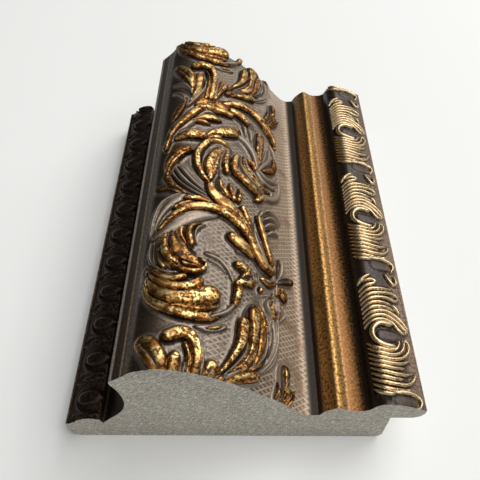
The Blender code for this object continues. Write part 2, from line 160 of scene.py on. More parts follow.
# The spray that opens the pattern, at the front cut
OPENING_SPRAY = [
    leaf([(21, -15), (24.6, -8), (28.6, -1)], 8.5, 1.7, (0.4, 0.6, 0.6), BRONZE),
    leaf([(16.8, -16.5), (15.6, -12.6), (13, -9.6), (9.6, -8.2)], 2.6, 1.9, (0.5, 0.5, 0.5), WASH),
    leaf([(18.6, -8.6), (17, -5.2), (14, -3), (9.4, -2.4)], 2.8, 2, (0.5, 0.5, 0.5), WASH),
    leaf([(19, -3.4), (16.4, 0.4), (12, 2.4)], 2.6, 1.8, (0.5, 0.5, 0.5), WASH),
    leaf([(19, -6), (17, 1), (14.2, 5.4), (11.4, 8.6)], 7, 2.5, (0.3, 0.85, 0.95)),
    groove([(16, 1.4), (13.4, 5), (10.4, 8.2)], 1, 0.5),
    leaf([(17.4, -16), (19.6, -9), (20.6, -2), (20.6, 5)], 3.8, 2.3),
    rib([(16.8, -17), (19.2, -12.4), (21.7, -7.4), (23.6, -2.4), (23.9, 3.6)], 1.7, 2),
    leaf([(15.6, -13), (14.2, -18), (12.2, -23.4), (10.8, -27)], 3.2, 1.9, LEAF, BRONZE),
    leaf([(33.5, -1.5), (35.6, 1)], 2.8, 1.7, BEAD, BRONZE),
    leaf([(28.4, -7), (30.2, 0), (32.2, 4)], 5, 2.4, (0.4, 0.8, 0.95)),
    groove([(29, -5), (30.6, 0), (32, 3.4)], 0.8, 0.4),
    leaf([(24, -10), (25.6, 0), (25.2, 6), (23.4, 9.8)], 3, 2.4, (0.6, 0.5, 0.4)),
    leaf([(26.2, -9), (27.5, 0), (27.6, 7.4), (25.8, 11.8), (22.2, 13.2), (18.2, 11.4)], 4.4, 2.9,
         (0.55, 0.8, 1)),
    rib([(28.2, -6), (28.8, 1), (28.8, 8), (27, 12.6)], 1, 2),
    blade([(26.2, 15.6), (30, 15.8), (33.4, 17), (36.6, 18.2)], 2.6, 1.4),
    leaf([(29.6, 15.7), (32.6, 16.6), (35.2, 18)], 1, 1.8, LEAF),
]

# The large leaf beside the spray, with the fine ribs at its right edge and the sprig at the dome's foot
OPENING_LEAF = [
    blade([(50.6, 7.6), (55, 13.6), (57, 21), (57.4, 28.6)], 4.8, 1.6),
    groove([(54, 14), (56.4, 20), (57, 26)], 1.4, 0.7),
    leaf([(35, 0), (43.6, 8), (48.2, 16), (49.2, 27.4)], 12, 2.4, (0.18, 0.8, 0.7), BRONZE),
    blade([(41, 4), (49.4, 11), (53, 17.6), (53.6, 22.6)], 1.6, 1.9),
    leaf([(40.6, 4.4), (47.8, 10.6), (51.4, 17), (52.2, 24)], 1.8, 2.3, LEAF, BRONZE),
    leaf([(36, 0.6), (42, 6.2), (46.4, 13), (48, 20), (48.4, 27.4)], 5.8, 2.9, (0.3, 0.85, 0.95)),
    groove([(44, 9), (48, 15), (49.6, 21), (49.6, 24)], 0.7, 0.4),
    leaf([(48.4, 10), (50.4, 15), (51.6, 22)], 4, 2.7, (0.3, 0.8, 0.9), BRONZE),
    leaf([(35, 3.2), (39.8, 9.4), (42.6, 15), (43.4, 22.2)], 4.6, 2.7, (0.25, 0.85, 0.95)),
    blade([(35.4, 1.6), (40.6, 7.8), (43.8, 13), (45, 19)], 1.3, 2.3),
    groove([(36, 3), (41, 9.4), (44.2, 15.4), (45, 22.6)], 1.2, 1.1),
    leaf([(35, 0.2), (38, 2.2), (41.4, 4.6)], 2.6, 2.5, BEAD, WASH),
    leaf([(35, -0.8), (42, 3), (48, 5.6)], 3.6, 2.2, (0.3, 0.9, 0.95)),
    rib([(49.8, 7.2), (53.8, 11.4), (57, 16.6), (58.8, 22.6), (59.1, 30)], 1.5, 1.8),
    leaf([(58.8, -3), (61.4, 3.6), (62.2, 12)], 5.4, 2.3, (0.4, 0.9, 0.95), 0.3),
    leaf([(60, -2), (61.8, 5), (62.4, 12.6)], 2.2, 2.6, (0.4, 0.9, 0.8), GOLD),
    groove([(59, -3), (60.4, 4), (60.6, 10)], 0.9, 0.9),
    groove([(61.6, -3), (63.6, 5), (64, 11)], 0.8, 0.8),
    leaf([(55.2, -3), (57.8, 2.6), (58.6, 7.2)], 1.7, 2.1, LEAF, BRONZE),
    *fan([(57.6, -2.5), (60.6, 3), (61.8, 8)], [(61.4, -2.5), (64.6, 2.6), (66.4, 7)], 4, 1.2, 2.1, LEAF,
         BRONZE),
]

# The first volute with the curled leaf inside it
LOWER_SCROLL = [
    leaf([(10, 34), (15, 27), (24, 24), (31, 26)], 13, 1.5, (0.5, 0.5, 0.5), WASH),
    leaf([(7.6, 29.4), (11, 24), (17, 20.6), (24, 19.4), (31, 20.2), (35.4, 22.6)], 4.4, 2.5,
         (0.6, 0.55, 0.25)),
    rib([(31, 20.2), (36, 23.2), (39, 27), (40.4, 31)], 1.6, 2.4),
    leaf([(39.8, 28), (40.9, 32), (40.8, 36.4)], 3.6, 2.6, (0.6, 0.6, 0.9)),
    leaf([(7.6, 31), (12.4, 25.4), (20, 22.4), (26, 22), (32.4, 24.4)], 3, 2.4, (0.4, 0.8, 0.6)),
    leaf([(7.8, 32.4), (13, 26.6), (18.4, 25.2), (24, 26), (31, 28.4)], 7.4, 3.1, (0.22, 0.95, 0.95)),
    rib([(7.8, 34), (12.6, 29.6), (19, 27), (25, 28.8)], 1.1, 2.4),
    leaf([(7.8, 35.4), (12.6, 30.6), (19, 28.6), (23.6, 29.6), (26.6, 32)], 3.6, 2.7, (0.35, 0.9, 0.95)),
    rib([(8, 37), (12.6, 32), (18, 30)], 1, 2.2),
    leaf([(8.4, 39), (12, 33.6), (16.6, 31), (21.4, 32.4)], 2.5, 2.4, (0.4, 0.9, 0.9)),
    rib([(8.8, 46), (8.8, 40), (11, 36), (15.6, 33.4), (19.4, 33.8)], 1.3, 1.9),
    leaf([(11.6, 46.5), (12.2, 40.6), (14.4, 35.4)], 1.8, 2.1, (0.5, 0.8, 0.9)),
    leaf([(18.6, 55.4), (16.2, 47.6), (18, 41.4), (22, 38.8), (24.8, 38.4)], 10.5, 2.9, (0.35, 0.6, 0.6),
         0.42),
    leaf([(14.2, 52), (13.4, 45), (15.8, 39.4), (20.4, 36.6)], 2.8, 2.6, (0.5, 0.6, 0.7)),
    groove([(16, 54), (15.2, 48), (16.4, 43.6)], 0.7, 0.5),
    groove([(18.2, 55), (16.8, 50), (17.8, 46)], 0.8, 0.6),
    groove([(20.2, 55.8), (18.8, 51.4), (20, 47), (25, 43.2)], 1, 1.1),
    leaf([(16, 37.8), (19, 35.7), (24, 35), (27.6, 37), (28.2, 39.4), (26, 41.2)], 2, 3.1,
         (0.5, 0.5, 0.5)),
    leaf([(20.4, 37.6), (22.6, 37), (25, 37.2)], 1.6, 3.1, BEAD),
    groove([(26, 38.7), (26.6, 38.9)], 1.6, 1.4),
    leaf([(21.6, 56.6), (19.2, 53), (19.2, 48.6), (21, 46)], 1.7, 2.6, STEM),
    leaf([(26.6, 56.2), (22.8, 54), (21.9, 50), (22.9, 46.2)], 2.4, 2.8, (0.3, 0.8, 0.95)),
    rib([(27.4, 55.6), (24.6, 53), (23.8, 49.6), (24.6, 46.6)], 1, 1.9),
    rib([(28, 43.2), (33, 42.4), (36.4, 39.6), (38.8, 35)], 1.4, 1.1),
    rib([(29, 40.9), (32.6, 40), (35.8, 37.8)], 0.9, 0.8),
    leaf([(40.6, 36.2), (43.4, 38), (46.8, 38.8)], 3.8, 2.6, (0.6, 0.8, 0.95)),
    leaf([(43, 39.4), (44.9, 41.6), (43.6, 43.6), (40.6, 43.8)], 3.6, 2.5, (0.7, 0.6, 0.9)),
    groove([(42, 38), (44.4, 39.6), (46.4, 40)], 1, 0.8),
    *fan([(46.4, 43), (47, 41), (47.6, 39)], [(49, 44), (49.2, 42), (49, 40)], 3, 0.9, 1.1, LEAF, WASH),
    rib([(46.2, 50.1), (43.4, 50.2), (40.4, 49.4)], 1.8, 2),
    leaf([(47, 51.2), (42.4, 53.2), (38.6, 55)], 5.6, 2.9, (0.45, 0.6, 0.9)),
]

# The stem that arches over the first volute, the leaves and feathers on it, and the calyx at its end
ARCH = [
    leaf([(10, 49.2), (15, 53), (20, 57), (25.5, 60), (31, 61.6)], 7, 2.1, (0.5, 0.45, 0.3), WASH),
    leaf([(7.4, 49.6), (9.4, 56.4), (12.6, 62), (18.6, 66.6)], 4.8, 1.7, (0.25, 0.7, 0.6), WASH),
    rib([(6.8, 50), (8, 57), (11.4, 63.6), (17.6, 68)], 1.3, 2.1),
    leaf([(18.8, 68.4), (13, 70), (8.4, 70.6)], 3, 1.9, gilt=BRONZE),
    leaf([(19.4, 68.8), (15, 71.6), (11.6, 75.6)], 3.8, 2.1, gilt=BRONZE),
    groove([(18, 69), (14, 70.9), (9, 72.4)], 0.8, 0.8),
    leaf([(30, 67.6), (23, 70.8), (18, 75), (14.6, 80)], 8, 1.6, (0.4, 0.8, 0.8), WASH),
    groove([(28, 67.8), (20.6, 70.2), (15.8, 73.6), (12.9, 77.6)], 1.5, 1.4),
    groove([(28.4, 69.2), (21.8, 71.6), (17, 75), (13.9, 79.6)], 1.5, 1.4),
    groove([(28.4, 70.6), (23.2, 73), (18.8, 76.8), (15.2, 81.6)], 1.5, 1.4),
    leaf([(30, 66.2), (25, 66.9), (19.8, 66)], 2.6, 2.2, (0.5, 0.8, 0.9)),
    leaf([(27, 64.8), (21, 63.4), (16.6, 61.2)], 3, 2.5, (0.5, 0.8, 0.9)),
    leaf([(28.2, 76.6), (29.8, 72), (34.4, 69), (40, 66), (45.4, 61.6)], 6.4, 2.7, (0.5, 0.55, 0.6)),
    groove([(30.6, 73.4), (34.6, 70.6), (40, 67.6), (44, 64.6)], 0.8, 0.6),
    blade([(30.6, 76.6), (32.6, 73.4), (36.6, 71.2)], 1, 1.9),
    leaf([(49.4, 66), (52.2, 58.4), (55.4, 51.6)], 8.4, 1.9, (0.3, 0.8, 0.9), WASH),
    leaf([(10.8, 52.2), (14.6, 56.8), (19.6, 61.4), (25, 64), (31, 65), (37, 64.4), (42, 62.2),
          (46.4, 58.4), (49.6, 53.4), (53, 50), (57, 49)], 4.6, 3.2, (0.35, 0.7, 0.9)),
    leaf([(51, 71.6), (51.7, 67.4), (53.6, 61.8), (55.8, 56.6), (57.4, 52.6)], 3.4, 2.9, (0.6, 0.5, 0.8)),
    groove([(53.6, 66), (55.4, 61), (57.2, 56.4)], 0.9, 0.5),
    groove([(49.4, 63), (51.4, 58.4), (53.8, 53.6)], 1.6, 0.6),
    blade([(50.8, 71), (52.4, 74.2), (54.8, 77.2)], 1.9, 1.7),
    leaf([(47.2, 63.2), (45, 67), (43, 70.4)], 3.8, 2.6),
    groove([(46.8, 64.4), (44.8, 68), (43.4, 70.4)], 0.7, 0.5),
    blade([(53.8, 76), (57, 78.2), (61, 77.4), (64, 75.4)], 1.8, 2.1),
    blade([(53.6, 71.6), (57, 74.6), (60, 75), (63.4, 73.8)], 1.8, 2.1),
    blade([(53.8, 68), (57, 71.2), (61.4, 72.2)], 1.8, 2.1),
    blade([(55, 65), (58.4, 68), (62.6, 69)], 1.8, 2.1),
    groove([(55, 74.4), (58.6, 76.6), (62, 75.6)], 1.2, 0.5),
    groove([(54.4, 70.8), (58.6, 73.4), (62, 72.8)], 1.2, 0.5),
    groove([(55, 67.4), (58.6, 70), (62, 70.6)], 1.2, 0.5),
]

# The small flower past the calyx and the striped bud on its stalk
FLOWER = [
    leaf([(60.4, 47), (60.6, 51), (61.4, 55.4)], 2.8, 2, LOBE, 0.3),
    leaf([(60.8, 47), (62.8, 51.5), (63, 55.6)], 2.6, 2.1, LOBE, WASH),
    groove([(60.6, 47.6), (61.5, 51.5), (62.2, 55.4)], 0.8, 1),
    leaf([(60.8, 46.2), (64.5, 48.2), (67.4, 49.6)], 3.8, 2.2, LOBE, 0.3),
    groove([(61.6, 46.6), (64.5, 48.2), (66.6, 49.2)], 0.7, 0.6),
    leaf([(61, 44.4), (62.4, 42.8), (63.6, 41)], 4.6, 2.3, LOBE),
    leaf([(59, 44.2), (55, 42.6), (51.4, 43)], 3.4, 1.8, (0.5, 0.5, 0.4)),
    groove([(58, 43.8), (55, 42.6), (52.4, 42.8)], 0.8, 0.7),
    leaf([(59.2, 45.2), (60, 45.9)], 1.9, 2.1, BEAD, WASH),
    rib([(59.2, 45), (58.9, 41.5), (58.4, 38.6)], 1.4, 1),
    leaf([(58.8, 38.8), (57.9, 34.5), (58.6, 30.8)], 7.6, 2.1, (0.5, 0.5, 0.5), BRONZE),
    *[groove([(57.6 + 0.45 * k, 38.8), (56.6 + 0.9 * k, 34.6), (58.4 + 0.2 * k, 31.2)], 0.75, 0.7)
      for k in range(5)],
    blade([(56.4, 36.6), (53.8, 33.4), (56.6, 29.9)], 1.9, 1.8),
    blade([(62.4, 37), (63.1, 33.6), (60.6, 29.8)], 1.4, 1.7),
    leaf([(50.8, 37.7), (51.2, 38.4)], 2.4, 1.8, BEAD),
    blade([(52, 36.2), (54, 37), (56.3, 38.4)], 1.5, 1.2),
]

# The second volute, which winds the other way, with the pendant leaf in its eye
UPPER_SCROLL = [
    leaf([(28, 78.4), (27, 86), (29.6, 93.6), (34, 98)], 13, 1.7, (0.3, 0.6, 0.5), WASH),
    leaf([(27.6, 77), (23.8, 81.6), (22.4, 88), (23.6, 93.6), (27, 99.4), (31, 101.4), (35, 101)], 3.4,
         2.5, (0.4, 0.5, 0.6)),
    groove([(25.4, 81.4), (24, 88), (25.4, 93.4), (29, 98.4)], 0.9, 1),
    rib([(27.6, 78.6), (25.4, 83.4), (25.4, 89), (28, 94.4), (32, 98.6)], 1.5, 2.4),
    leaf([(28.4, 79.4), (28.2, 85), (29.2, 90.4), (31.8, 96.6)], 6.4, 2.9, (0.35, 0.45, 0.45)),
    groove([(29, 83), (29.6, 88), (31, 92.6)], 0.6, 0.3),
    rib([(32, 82.4), (31.7, 88), (33, 94), (34.4, 98.6)], 1.1, 2.3),
    leaf([(34.9, 86), (34.2, 91), (35.2, 97)], 2.9, 2.6, (0.8, 0.5, 0.7)),
    rib([(36.4, 85.4), (36.6, 92), (37, 97), (35.6, 100.6)], 0.9, 2.1),
    leaf([(32, 81.2), (32.4, 77), (35.4, 73.4)], 3.6, 2.2),
    groove([(31.4, 80), (31.4, 76.4), (34, 73.4)], 0.7, 0.8),
    leaf([(36.9, 80.4), (37, 77), (38.2, 73.4)], 2.9, 2.2),
    leaf([(41, 79.8), (41.2, 77), (40.6, 73.6)], 2.6, 2.2),
    leaf([(42, 96), (44.4, 91), (50, 88), (56, 88.6), (61, 94)], 11, 2, (0.5, 0.5, 0.4), WASH),
    leaf([(52.5, 83.8), (58, 85.2), (62.2, 89.2), (64, 95), (63.6, 102)], 3, 2, (0.4, 0.5, 0.4),
         WASH),
    leaf([(39.8, 98), (38.4, 94), (38.6, 90)], 3, 2.8, (0.7, 0.6, 0.9)),
    leaf([(38.2, 91), (39.2, 87.8), (44, 85.9), (49, 84), (53, 82.8)], 3.8, 3.2, (0.7, 0.5, 0.8)),
    leaf([(53.4, 83.4), (51.6, 80.8), (48.6, 78.6)], 2.8, 2.4, (0.9, 0.3, 0.2)),
    leaf([(43.4, 98), (43.6, 93.4), (46.8, 90.2), (52, 88.2), (58, 89)], 5, 3, (0.7, 0.4, 0.4)),
    groove([(42.6, 97), (42.8, 92.4), (46.4, 89), (52, 87)], 0.8, 0.7),
    groove([(45.4, 97), (45.8, 93.6), (49, 91), (55, 90)], 0.8, 0.7),
    rib([(41.4, 98.4), (41.1, 93.4), (43.4, 90), (47.4, 87.4), (54, 85.8)], 1.3, 2.7),
    leaf([(50, 94.4), (53.6, 91.6), (58.4, 92), (62.4, 95.4)], 2.6, 2.5, (0.9, 0.3, 0.3), WASH),
    groove([(54, 90.2), (58.6, 90.6), (62.6, 94)], 1, 1.2),
    leaf([(45.4, 98.6), (48, 98), (49.8, 95.6)], 2.8, 2.4, (0.7, 0.5, 0.5)),
    leaf([(51, 96.6), (55.4, 95), (60, 96.6), (63, 100.4)], 2, 2.2, (0.8, 0.4, 0.4), WASH),
    groove([(51, 95.2), (55.4, 93.6), (60, 95), (63.4, 98.6)], 0.8, 1),
    leaf([(25.6, 102.6), (31, 107), (36, 109.8), (39.2, 112.2)], 6.2, 2.8, (0.3, 0.75, 0.85)),
    groove([(28, 106.4), (33, 109.8), (37.6, 112.4)], 0.8, 0.5),
    leaf([(25.4, 100.4), (29, 102.4), (32.6, 104)], 2.3, 2.2, LEAF),
    leaf([(54.6, 99.6), (58.6, 102), (61.2, 106), (61.8, 112)], 4, 2.3, (0.5, 0.5, 0.4), BRONZE),
    rib([(51, 97), (54, 102), (57.4, 107.4), (58.6, 115)], 2.4, 1.7),
    leaf([(51.2, 100.5), (52, 107), (52.8, 113), (53, 119.4)], 6.2, 2.4, (0.22, 0.7, 0.8), BRONZE),
    groove([(51.4, 105), (51.7, 111), (51.4, 117.4)], 0.8, 0.6),
    groove([(53, 106), (54.2, 111), (54.4, 117.4)], 0.8, 0.6),
    leaf([(40.5, 110), (45, 108.4), (48.6, 104.4), (50.4, 98.4)], 3.6, 1.8, (0.6, 0.5, 0.5), WASH),
    blade([(46.8, 111.6), (46.8, 115.4), (45, 119.2)], 2.2, 1.5),
    blade([(43.8, 112.8), (43.4, 116.2), (42.2, 119)], 2, 1.5),
    blade([(62, 111.4), (60.8, 115.8), (58.2, 118.6)], 2.2, 1.6),
]

# The stem that arches over the second volute and springs the next opening spray
CLOSING_ARCH = [
    leaf([(8, 94), (13, 101.4), (18, 108.4), (22.6, 115), (27, 118)], 4.6, 2, (0.5, 0.5, 0.4), WASH),
    leaf([(22.6, 120.8), (28, 123.4), (36.4, 124)], 6.4, 2.3, STEM, BRONZE),
    leaf([(6.6, 94.6), (10.6, 101.6), (15, 108.2), (19.4, 114.4), (22.6, 118.4), (27, 120), (32, 120.6),
          (36.4, 121.2)], 3.8, 3, (0.45, 0.6, 0.7)),
    blade([(30, 127.4), (35, 129), (42, 129)], 2.2, 1.8),
    leaf([(33, 127), (38.6, 130.6), (45, 132.8), (51, 132.2), (57, 129.4), (61.4, 126), (63.8, 122)],
         5.4, 3, (0.4, 0.6, 0.4)),
    leaf([(54.6, 130.4), (60, 127), (63.4, 123)], 3, 3.2, STEM),
    leaf([(36.6, 124.6), (41, 124), (45, 122.6)], 4.4, 3, (0.8, 0.7, 0.8)),
    leaf([(18.8, 108.6), (23, 109.4), (27, 109.4)], 2, 2.1, LEAF),
    blade([(21.8, 113.4), (25.2, 116.2), (28.6, 116.6)], 1.6, 1.8),
    leaf([(20.4, 111), (26, 113.2), (32, 114.4)], 3.6, 2.5, LEAF),
    leaf([(13.2, 98), (17.6, 100.6), (23, 101.6)], 5.8, 2.7, (0.35, 0.7, 0.9)),
    groove([(14.4, 99.8), (18, 102.2), (22.4, 103)], 0.8, 0.5),
    leaf([(11, 78), (11.8, 84.4), (14.6, 89.6), (18.6, 92.4)], 4.6, 2.3, (0.35, 0.7, 0.6), BRONZE),
    leaf([(11.6, 77.4), (12.4, 81.6), (14.8, 86), (17.6, 89.4), (20.4, 91.8)], 1.7, 2.7, STEM),
]

# The two sides of a shell: their ribs, as distances from the ridge and from the middle of the C scroll
SHELL_RIBS_UP = (
    [(96.2, 3), (99, 5), (102.6, 6), (106, 5.2), (107.6, 3.4), (109.2, 2), (110.8, 2.2)],
    [(96.2, 4.8), (99.6, 7), (103.6, 7.8), (107.4, 6.4), (110, 4), (111.4, 2.6)],
    [(96.2, 6.6), (100, 8.8), (104.4, 9.5), (108.2, 8), (110.6, 5.6), (111.8, 3.6)],
    [(96.2, 8.4), (100, 10.6), (104.4, 11.2), (107.6, 10.4)],
    [(107.4, 12.4), (108.8, 11.2), (109.6, 9.4)],
    [(96.2, 10.2), (100, 12.4), (104, 13), (106.6, 12.6)],
    [(96.2, 12), (100, 14.2), (105, 15.2), (109, 14.6), (110.6, 16)],
    [(96.2, 13.8), (100, 16), (105, 17.2), (108.4, 17.6), (110.4, 16.4)],
    [(96.2, 15.6), (99.6, 17.8), (104, 18.8), (108, 19.2)],
    [(96.2, 17.4), (98.8, 19.4), (101.4, 20.4), (102.2, 21.6), (100.6, 22.2), (98, 21.4)],
    [(96.2, 20.4), (98, 22.6), (100.6, 24.2)],
    [(107, 25.6), (108.2, 23.4), (109.8, 21.6), (111.2, 22.8), (110.8, 25)],
)
SHELL_RIBS_DOWN = (
    [(96.2, -2.8), (98.4, -4.6), (101.4, -5.5), (104.6, -5.2), (106.6, -3.6), (107.4, -1.6)],
    [(96.2, -4.6), (99, -6.4), (102.8, -7.1), (106.4, -6.2), (108.6, -3.8), (109.2, -1.4)],
    [(96.2, -6.4), (99, -8), (103, -8.7), (107.4, -7.6), (110, -5.2), (110.9, -2.4), (109.8, -0.8)],
    [(96.2, -8.1), (99, -9.6), (103, -10.2), (107, -9.6), (109.8, -8.2)],
    [(96.2, -9.8), (99, -11.2), (103, -11.8), (107, -11.4)],
    [(96.2, -11.5), (99, -13), (103, -13.6), (107, -13.6), (109.6, -12.8)],
    [(96.2, -13.3), (99, -14.8), (102.4, -15.4), (106, -15.2)],
    [(96.2, -15.1), (99, -16.6), (103, -17.2), (107.4, -16.8), (110, -15), (110.9, -13.2)],
    [(96.2, -16.9), (99, -18.6), (102, -19.2), (106, -18.9), (109, -18.4)],
    [(96.2, -18.7), (98.6, -20.2), (101.4, -20.6), (102.6, -19.8)],
    [(103, -20), (107, -19.5), (110.4, -20.4), (111.3, -22.2), (110, -24.5)],
)
# The open C scroll between the two sides
SHELL_SCROLL = [(104.9, 4.2), (101.4, 4.3), (98.9, 2.4), (98.4, -0.2), (99.2, -2.4), (101.4, -3.8),
                (104.7, -4)]


def shell_band():
    """Ribs that sweep out on both sides of each C scroll and curl back at the sight edge."""
    leaves = []
    for centre in np.arange(SHELL_START - SHELL_REPEAT, LENGTH + SHELL_REPEAT, SHELL_REPEAT):
        leaves.append(leaf([(103.6, centre - 22.6), (108.4, centre - 22.6)], 4.6, 0.5, BEAD, WASH))
        leaves.append(leaf([(101.6, centre), (107.6, centre)], 4.6, 0.5, BEAD, WASH))
        leaves += [leaf([(s, centre + away) for s, away in rib], 1.35, 1.15, STEM, BRIGHT)
                   for rib in SHELL_RIBS_UP + SHELL_RIBS_DOWN]
        leaves.append(leaf([(s, centre + away) for s, away in SHELL_SCROLL], 1.7, 1.4, BEAD, BRIGHT))
    return leaves


def egg_rail():
    """Eggs in their collars along the rail, with darts between them, measured from the rail's outer arris."""
    leaves = []
    for middle in np.arange(EGG_START - EGG_REPEAT, LENGTH + EGG_REPEAT, EGG_REPEAT):
        leaves.append(leaf([(11.4, middle + 5.6), (6.4, middle + 4.6), (3.2, middle),
                            (6.4, middle - 4.6), (11.4, middle - 5.6)], 1.3, 0.8, BEAD, WASH))
        leaves.append(leaf([(6.6, middle), (10.4, middle)], 5.4, 2.0, BEAD, WASH))
        dart = middle + EGG_REPEAT / 2
        leaves.append(blade([(4.4, dart), (10.8, dart)], 2.4, 1.1))
        for side in (-1, 1):
            leaves.append(rib([(1.2, middle + side * 6.3), (4.2, middle + side * 5.2),
                               (7.6, middle + side * 6.2)], 0.9, 0.5))
    return leaves


def rope_edge():
    """Slanting strands of the rope along the outer side, between two thin fillets."""
    strands = []
    for start in np.arange(-ROPE_PITCH, LENGTH + ROPE_PITCH, ROPE_PITCH):
        strands.append(leaf([(-3.4, start + 0.8), (-0.4, start - 0.8)], 1.3, 0.8 * ROPE_HEIGHT, BEAD, BRONZE))
    for away in (-3.7, 0.2):
        strands.append(leaf([(away, 0), (away, LENGTH)], 0.9, ROPE_HEIGHT, BEAD, BRONZE))
    return strands


def smooth(points, step):
    """Points along a smooth curve through the given ones, about one step apart."""
    knots = np.array(points, float)
    around = np.vstack([2 * knots[0] - knots[1], knots, 2 * knots[-1] - knots[-2]])
    curve = []
    for a, b, c, d in zip(around, around[1:], around[2:], around[3:]):
        count = max(2, int(np.ceil(np.hypot(*(c - b)) / step)))
        t = (np.arange(count) / count)[:, None]
        curve.append((2 * b + (c - a) * t + (2 * a - 5 * b + 4 * c - d) * t ** 2
                      + (3 * b - a - 3 * c + d) * t ** 3) / 2)
    return np.vstack(curve + [knots[-1:]])


def straight(points, step):
    """Points along straight runs between the given ones, about one step apart."""
    runs = []
    for a, b in zip(np.array(points, float), np.array(points[1:], float)):
        count = max(1, int(np.ceil(np.hypot(*(b - a)) / step)))
        runs.append(a + (b - a) * (np.arange(count) / count)[:, None])
    return np.vstack(runs + [np.array(points[-1:], float)])


def travel(points):
    """How far along a line of points each of them is."""
    return np.concatenate([[0], np.cumsum(np.hypot(*np.diff(points, axis=0).T))])


def section():
    """The carved side: its points, their normals, how far along it they are, where each stretch starts."""
    points, arris = [np.array([SECTION[0][3][0]], float)], {}
    for name, form, step, stops in SECTION:
        start = tuple(points[-1][-1])
        arris.setdefault(name, sum(len(run) for run in points) - 1)
        stops = stops if stops[0] == start else [start] + list(stops)
        run = smooth(stops, step) if form == "curved" else straight(stops, step)
        points.append(run[1:])
    points = np.vstack(points)
    along = np.gradient(points, axis=0)
    normals = np.stack([-along[:, 1], along[:, 0]], axis=1) / np.hypot(*along.T)[:, None]
    return points, normals, travel(points), arris


def drop_to_ground(path, height, points, normals, across):
    """A path is marked on the ground where its crest shows from EYE. This puts it under the crest itself."""
    x, z, nx, nz = (np.interp(path[:, 0], across, line) for line in (*points.T, *normals.T))
    sight = np.stack([x, path[:, 1], z], axis=1) - EYE
    facing = sight[:, 0] * nx + sight[:, 2] * nz
    sideways = sight[:, 0] * nz - sight[:, 2] * nx
    return path + CREST_MARK * height * np.stack([sideways, sight[:, 1]], axis=1) / facing[:, None]


def raise_leaf(relief, gilt, border, across, length, path, piece):
    """Lay one leaf on the sheet of heights, its outline cut into what it lies on, a border round its foot."""
    path = smooth(path, PATH_STEP) if len(path) > 2 else straight(path, PATH_STEP)
    half = piece.width / 2
    reach = half + BORDER + BORDER_STEP
    low, high = path.min(axis=0) - reach, path.max(axis=0) + reach
    columns = np.flatnonzero((across >= low[0]) & (across <= high[0]))
    rows = np.flatnonzero((length >= low[1]) & (length <= high[1]))
    if len(columns) == 0 or len(rows) == 0:
        return
    window = np.s_[rows[0]:rows[-1] + 1, columns[0]:columns[-1] + 1]
    x, y = np.meshgrid(across[window[1]], length[window[0]])
    root, belly, tip = piece.swell
    share_of_path = travel(path) / travel(path)[-1]
    nearest = np.full(x.shape, np.inf)
    fullness = np.ones(x.shape)
    for k in range(len(path) - 1):
        run = path[k + 1] - path[k]
        t = np.clip(((x - path[k][0]) * run[0] + (y - path[k][1]) * run[1]) / (run @ run), 0, 1)
        u = share_of_path[k] + t * (share_of_path[k + 1] - share_of_path[k])
        rise = root + (1 - root) * np.sin(np.pi / 2 * np.minimum(u / belly, 1))
        fall = 1 + (tip - 1) * np.clip((u - belly) / (1 - belly), 0, 1) ** 2
        swell = np.where(u < belly, rise, fall)
        off = np.hypot(x - path[k][0] - t * run[0], y - path[k][1] - t * run[1]) / (half * swell)
        closer = off < nearest
        fullness = np.where(closer, swell, fullness)
        nearest = np.minimum(off, nearest)
    if piece.height < 0:
        cut = np.clip(1 - nearest ** 2, 0, 1)
        relief[window] += piece.height * np.sqrt(fullness) * cut
        gilt[window] += (piece.gilt - gilt[window]) * cut
        return
    height = piece.height * np.sqrt(fullness) * np.sqrt(np.clip(1 - nearest ** CREST, 0, 1))
    outline = np.clip((half + OUTLINE - nearest * half) / OUTLINE, 0, 1)
    under = relief[window] * (1 - UNDERCUT * outline)
    stands = (height > under) & (nearest < 1)
    relief[window] = np.where(stands, height, under)
    if piece.height > BORDERED:
        rim = np.clip((half + BORDER + BORDER_STEP - nearest * half) / BORDER_STEP, 0, 1)
        border[window] = np.maximum(border[window], rim)
    gilt[window] = np.where(stands, piece.gilt * np.clip((1 - nearest) / CROWN, 0, 1), gilt[window])


def carving(length, points, normals, across, arris):
    """Sheets over the ground: how high the carving stands, how much gold it has, and where borders run."""
    relief, gilt, border = np.zeros((3, len(length), len(across)))
    ridge, rail = (np.array([across[arris[name]], 0]) for name in ("ridge", "rail"))
    for piece in LOWER_SCROLL + ARCH + FLOWER + UPPER_SCROLL + CLOSING_ARCH + OPENING_LEAF + OPENING_SPRAY:
        height = piece.height if piece.height > 0 else GROOVED
        path = drop_to_ground(np.array(piece.path, float) + ridge, height, points, normals, across)
        for shift in (-LEAF_REPEAT, 0, LEAF_REPEAT):
            raise_leaf(relief, gilt, border, across, length, path + np.array([0, shift]), piece)
    for piece in shell_band():
        raise_leaf(relief, gilt, border, across, length, np.array(piece.path, float) + ridge, piece)
    for piece in egg_rail() + rope_edge():
        raise_leaf(relief, gilt, border, across, length, np.array(piece.path, float) + rail, piece)
    relief += BORDER_HEIGHT * border * (relief < BORDER_HEIGHT)
    dome = (across > ridge[0]) & (across < ridge[0] + DOME_WIDTH)
    relief[:, dome] *= np.clip(SAWN + (1 - SAWN) * length / SAWN_LENGTH, SAWN, 1)[:, None]
    return relief, gilt, border


def blurred(sheet, reach):
    """The sheet averaged over a square of cells, twice, which is close to a round blur."""
    for axis in (0, 1, 0, 1):
        pad = [(reach + 1, reach) if axis == a else (0, 0) for a in (0, 1)]
        sums = np.cumsum(np.pad(sheet, pad, mode="edge"), axis=axis)
        count = sheet.shape[axis]
        span = 2 * reach + 1
        sheet = (np.take(sums, range(span, span + count), axis=axis)
                 - np.take(sums, range(count), axis=axis)) / span
    return sheet


